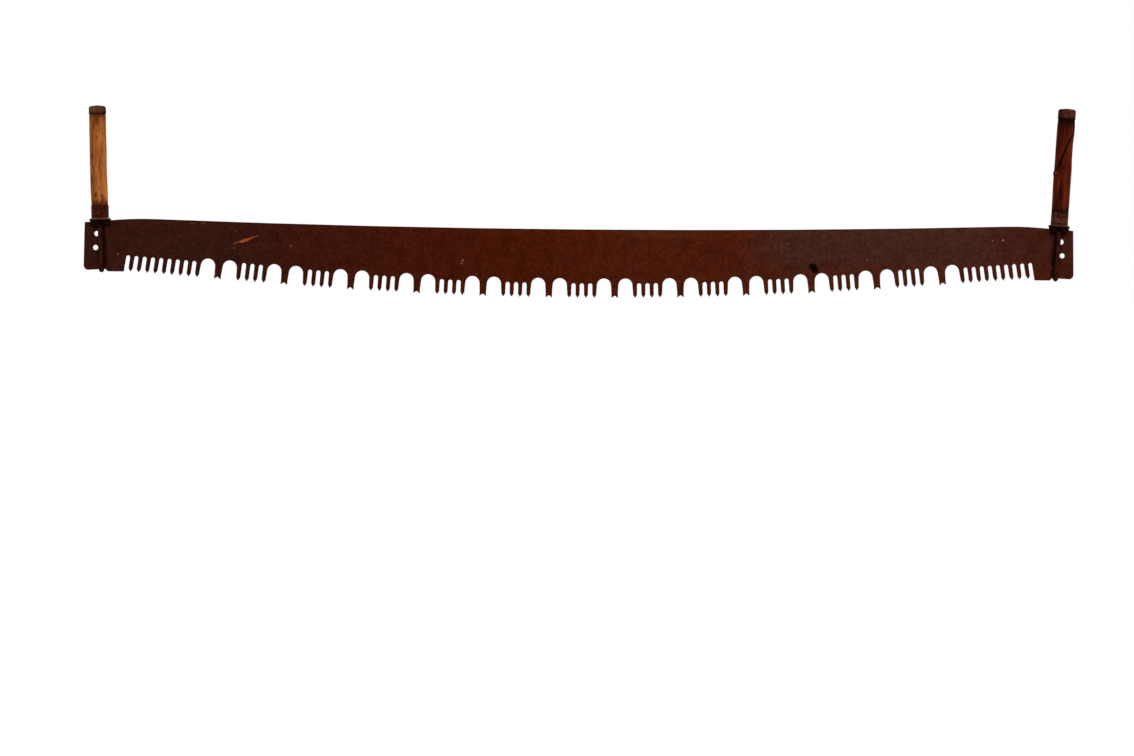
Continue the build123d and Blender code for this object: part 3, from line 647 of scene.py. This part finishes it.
def nail_tree():
    """Geometry Nodes that set nails in two rings round a handle, heads outward."""
    tree = bpy.data.node_groups.new("handle_nails", "GeometryNodeTree")
    inputs = {
        "Nails Each": ("NodeSocketInt", 2), "Turn": ("NodeSocketFloat", 0.0),
        "Head Radius": ("NodeSocketFloat", 0.002), "Head Height": ("NodeSocketFloat", 0.0007),
        "Shank Radius": ("NodeSocketFloat", 0.001), "Shank Length": ("NodeSocketFloat", 0.006),
        "Ferrule Radius": ("NodeSocketFloat", 0.0154), "Ferrule Height": ("NodeSocketFloat", 0.02),
        "Cap Radius": ("NodeSocketFloat", 0.0152), "Cap Height": ("NodeSocketFloat", 0.2),
        "Material": ("NodeSocketMaterial", None),
    }
    tree.interface.new_socket("Geometry", in_out="OUTPUT", socket_type="NodeSocketGeometry")
    for name, (kind, value) in inputs.items():
        socket = tree.interface.new_socket(name, in_out="INPUT", socket_type=kind)
        if value is not None:
            socket.default_value = value
    given = add_node(tree, "NodeGroupInput").outputs
    # The head is the upper part of a flattened ball, and the shank goes straight down from it
    ball = add_node(tree, "GeometryNodeMeshUVSphere", {"Segments": 24, "Rings": 12, "Radius": 1.0})
    flat = add_node(tree, "ShaderNodeCombineXYZ", {
        0: given["Head Radius"], 1: given["Head Radius"], 2: given["Head Height"],
    })
    head = add_node(tree, "GeometryNodeTransform", {
        "Geometry": ball.outputs["Mesh"], "Scale": flat.outputs[0],
    })
    shank = add_node(tree, "GeometryNodeMeshCylinder", {
        "Vertices": 20, "Radius": given["Shank Radius"], "Depth": given["Shank Length"],
    })
    half = add_node(tree, "ShaderNodeMath", {0: given["Shank Length"], 1: -0.5}, operation="MULTIPLY")
    down = add_node(tree, "ShaderNodeCombineXYZ", {2: half.outputs[0]})
    lowered = add_node(tree, "GeometryNodeTransform", {
        "Geometry": shank.outputs["Mesh"], "Translation": down.outputs[0],
    })
    nail = add_node(tree, "GeometryNodeJoinGeometry")
    tree.links.new(head.outputs[0], nail.inputs[0])
    tree.links.new(lowered.outputs[0], nail.inputs[0])
    both = add_node(tree, "GeometryNodeJoinGeometry")
    # Each nail's place in its ring, and the way outward there
    index = add_node(tree, "GeometryNodeInputIndex").outputs[0]
    share = add_node(tree, "ShaderNodeMath", {0: index, 1: given["Nails Each"]}, operation="DIVIDE")
    angle = add_node(
        tree, "ShaderNodeMath", {0: share.outputs[0], 1: 2 * pi, 2: given["Turn"]}, operation="MULTIPLY_ADD",
    ).outputs[0]
    across = add_node(tree, "ShaderNodeMath", {0: angle}, operation="COSINE")
    behind = add_node(tree, "ShaderNodeMath", {0: angle}, operation="SINE")
    outward = add_node(tree, "ShaderNodeCombineXYZ", {0: across.outputs[0], 1: behind.outputs[0]}).outputs[0]
    facing = add_node(tree, "FunctionNodeAlignRotationToVector", {"Vector": outward}, axis="Z")
    for part in ("Ferrule", "Cap"):
        up = add_node(tree, "ShaderNodeCombineXYZ", {2: given[f"{part} Height"]})
        ring = add_node(
            tree, "ShaderNodeVectorMath", {0: outward, "Scale": given[f"{part} Radius"]}, operation="SCALE",
        )
        place = add_node(
            tree, "ShaderNodeVectorMath", {0: ring.outputs[0], 1: up.outputs[0]}, operation="ADD",
        )
        points = add_node(tree, "GeometryNodePoints", {
            "Count": given["Nails Each"], "Position": place.outputs[0],
        })
        nails = add_node(tree, "GeometryNodeInstanceOnPoints", {
            "Points": points.outputs[0], "Instance": nail.outputs[0], "Rotation": facing.outputs[0],
        })
        tree.links.new(nails.outputs[0], both.inputs[0])
    real = add_node(tree, "GeometryNodeRealizeInstances", {"Geometry": both.outputs[0]})
    dressed = add_node(tree, "GeometryNodeSetMaterial", {
        "Geometry": real.outputs[0], "Material": given["Material"],
    })
    add_node(tree, "NodeGroupOutput", {0: dressed.outputs[0]})
    return tree


def build_nails(name, sizes, tree, material):
    """The nails of one handle as a plain mesh."""
    handle = HANDLES[name]
    cap = handle["rise"] + FERRULE_LENGTH + handle["length"]
    carrier = bpy.data.objects.new(f"{name}_nails_source", bpy.data.meshes.new(f"{name}_nails_source"))
    bpy.context.scene.collection.objects.link(carrier)
    modifier = carrier.modifiers.new("nails", "NODES")
    modifier.node_group = tree
    given = {
        "Nails Each": sizes.each, "Turn": radians(handle["nail_turn"]),
        "Head Radius": sizes.head_radius, "Head Height": sizes.head_height,
        "Shank Radius": sizes.shank_radius, "Shank Length": sizes.shank_length,
        "Ferrule Radius": FERRULE_RADIUS * MM, "Cap Radius": handle["cap_radius"] * MM,
        "Ferrule Height": (handle["rise"] + handle["nail_height"]) * MM,
        "Cap Height": (cap + CAP_NAIL_HEIGHT) * MM,
        "Material": material,
    }
    for item in tree.interface.items_tree:
        if item.in_out == "INPUT":
            modifier[item.identifier] = given[item.name]
    shown = carrier.evaluated_get(bpy.context.evaluated_depsgraph_get())
    mesh = bpy.data.meshes.new_from_object(shown)
    bpy.data.objects.remove(carrier)
    mesh.name = f"{name}_nails"
    mesh.materials.clear()
    mesh.materials.append(material)
    mesh.polygons.foreach_set("material_index", [0] * len(mesh.polygons))
    return place_mesh(name, mesh, 50)


def aimed(location, target):
    """The turn that points a lamp from location to target."""
    return (Vector(target) - Vector(location)).to_track_quat("-Z", "Y").to_euler()


class SAW_OT_blade(bpy.types.Operator):
    """Give the blade its coat of old rust"""

    bl_idname = "saw.blade"
    bl_label = "Rust the blade"

    def execute(self, context):
        dress("blade", rusted_saw_steel(context.scene.saw_blade))
        return {"FINISHED"}


class SAW_OT_ironwork(bpy.types.Operator):
    """Give the loops, saddles, ferrules and cap nuts their old iron"""

    bl_idname = "saw.ironwork"
    bl_label = "Dress the ironwork"

    def execute(self, context):
        look = context.scene.saw_iron
        for name, handle in HANDLES.items():
            place = handle_place(name)
            rise = handle["rise"]
            top = rise + FERRULE_LENGTH + handle["length"]
            left = name == "left"
            cap = look.left_cap if left else look.right_cap
            # The right ferrule's worn mottle shows more. Both ferrules get a painted highlight round the
            # lower rim, the right one a second painted highlight round its middle
            worn = 0.35 if left else 0.6
            ferrule_highlights = ((rise + 0.6, 1.2, 0.4),) if left else ((rise + 0.6, 1.2, 0.4), (rise + 9, 6, 0.25))
            for piece, finish, colour, *rest in (
                # Painted shade and light on the loop: darker toward the blade, lighter on its outer face
                ("loop", "forged_loop_iron", look.loop, 0.15, 1.6, (("Y", 3.0, 6.0, 0.4, 1.3),), ()),
                # Painted shade under the saddle's rim, and a painted highlight on the rim
                ("saddle", "cast_saddle_iron", look.saddle, 0.2, 1.2, (("Z", rise, rise - 3, 1.0, 0.5),),
                 ((rise - 1.0, 1.6, 0.75),)),
                ("ferrule", "ferrule_iron", look.ferrule, worn, 1.4, (), ferrule_highlights),
                # Painted shade toward the cap nut's lower edge and its sides, and a painted highlight on its
                # top edge
                ("cap_nut", "cast_cap_iron", cap, 0.35, 1.3,
                 (("Z", top + 6, top + 1, 1.0, 0.28), ("X", 9, 14.5, 1.0, 0.55)),
                 ((top + handle["cap"] - 1.6, 2.2, 0.6),)),
            ):
                dress(f"{name}_{piece}", old_iron(f"{name}_{finish}", place, colour, look, *rest))
        return {"FINISHED"}


class SAW_OT_grips(bpy.types.Operator):
    """Turn the two wooden grips, wear them and put them in the place of the plain ones"""

    bl_idname = "saw.grips"
    bl_label = "Turn the grips"

    def execute(self, context):
        look = context.scene.saw_grips
        wood = worn_hardwood(
            "left_worn_tan_hardwood", handle_place("left"), look,
            (look.tan_light, look.tan_dark, look.tan_stain), LEFT_STAINS, LEFT_GRIME, 0.16, (0.84, 1.12),
        )
        grip = build_grip("left", look)
        grip.data.materials.append(wood)
        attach(grip, "left_grip")
        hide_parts("left_grip")
        wood = worn_hardwood(
            "right_dark_stained_hardwood", handle_place("right"), look,
            (look.dark_light, look.dark_dark, look.dark_stain), RIGHT_STAINS, RIGHT_GRIME, 0.22, (1.0, 1.1),
            RIGHT_SLIVER_HIGHLIGHTS,
        )
        grip = build_grip("right", look)
        grip.data.materials.append(wood)
        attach(grip, "right_grip")
        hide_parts("right_grip")
        return {"FINISHED"}


class SAW_OT_nails(bpy.types.Operator):
    """Drive the nails that hold the ferrules and the cap nuts"""

    bl_idname = "saw.nails"
    bl_label = "Drive the nails"

    def execute(self, context):
        look = context.scene.saw_iron
        tree = nail_tree()
        for name in HANDLES:
            place = handle_place(name)
            metal = old_iron(f"{name}_nail_iron", place, look.nail, look, 0.6, 1.0, specular=0.06)
            nails = build_nails(name, context.scene.saw_nails, tree, metal)
            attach(nails, f"{name}_grip")
            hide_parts(f"{name}_ferrule_pins", f"{name}_cap_pins")
        return {"FINISHED"}


class SAW_OT_stage(bpy.types.Operator):
    """Set the pale floor, the soft lamps and the camera"""

    bl_idname = "saw.stage"
    bl_label = "Set the stage"

    def execute(self, context):
        settings = context.scene.saw_stage
        scene = context.scene
        mesh = bpy.data.meshes.new("floor")
        corners = [(x * FLOOR_REACH, y * FLOOR_REACH, -settings.floor_drop)
                   for x, y in ((-1, -1), (1, -1), (1, 1), (-1, 1))]
        mesh.from_pydata(corners, [], [(0, 1, 2, 3)])
        floor = bpy.data.objects.new("floor", mesh)
        scene.collection.objects.link(floor)
        paint = bpy.data.materials.new("pale_floor")
        paint.use_nodes = True
        shader = paint.node_tree.nodes["Principled BSDF"]
        shader.inputs["Base Color"].default_value = (*settings.floor_colour, 1)
        shader.inputs["Roughness"].default_value = 0.9
        shader.inputs["Specular IOR Level"].default_value = 0.1
        mesh.materials.append(paint)
        for name, location, size, power in LAMPS:
            light = bpy.data.lights.new(name, "AREA")
            light.shape = "DISK"
            light.size = size
            light.energy = getattr(settings, power)
            lamp = bpy.data.objects.new(name, light)
            lamp.location = location
            lamp.rotation_euler = aimed(location, SAW_MIDDLE)
            scene.collection.objects.link(lamp)
        world = bpy.data.worlds.new("white surround")
        world.use_nodes = True
        background = world.node_tree.nodes["Background"]
        background.inputs["Color"].default_value = (1, 1, 1, 1)
        background.inputs["Strength"].default_value = settings.fill
        scene.world = world
        camera = bpy.data.cameras.new("camera")
        camera.sensor_width = 36
        camera.lens = settings.lens
        camera.shift_x, camera.shift_y = CAMERA_SHIFT
        camera.clip_end = 100
        holder = bpy.data.objects.new("camera", camera)
        holder.location = CAMERA_PLACE
        holder.rotation_euler = CAMERA_TURN
        scene.collection.objects.link(holder)
        scene.camera = holder
        scene.view_settings.view_transform = "Standard"
        return {"FINISHED"}


class SAW_PT_panel(bpy.types.Panel):
    """The saw's pieces and their sizes and colours"""

    bl_idname = "SAW_PT_panel"
    bl_label = "Crosscut saw"
    bl_space_type = "VIEW_3D"
    bl_region_type = "UI"
    bl_category = "Saw"

    def draw(self, context):
        for group, operators in PANEL_ROWS:
            box = self.layout.box()
            settings = getattr(context.scene, group)
            for setting in settings.__annotations__:
                box.prop(settings, setting)
            for operator in operators:
                box.operator(operator)


PANEL_ROWS = (
    ("saw_blade", ("saw.blade",)),
    ("saw_iron", ("saw.ironwork",)),
    ("saw_grips", ("saw.grips",)),
    ("saw_nails", ("saw.nails",)),
    ("saw_stage", ("saw.stage",)),
)
GROUPS = {
    "saw_blade": BladeLook, "saw_iron": IronLook, "saw_grips": GripLook, "saw_nails": NailSizes,
    "saw_stage": StageSettings,
}
CLASSES = (
    *GROUPS.values(), SAW_OT_blade, SAW_OT_ironwork, SAW_OT_grips, SAW_OT_nails, SAW_OT_stage, SAW_PT_panel,
)


def register():
    for made in CLASSES:
        bpy.utils.register_class(made)
    for name, group in GROUPS.items():
        setattr(bpy.types.Scene, name, PointerProperty(type=group))


def unregister():
    for name in GROUPS:
        delattr(bpy.types.Scene, name)
    for made in reversed(CLASSES):
        bpy.utils.unregister_class(made)


def main():
    """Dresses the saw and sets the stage."""
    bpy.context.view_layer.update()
    register()
    bpy.ops.saw.blade()
    bpy.ops.saw.ironwork()
    bpy.ops.saw.grips()
    bpy.ops.saw.nails()
    bpy.ops.saw.stage()


if __name__ == "__main__":
    main()
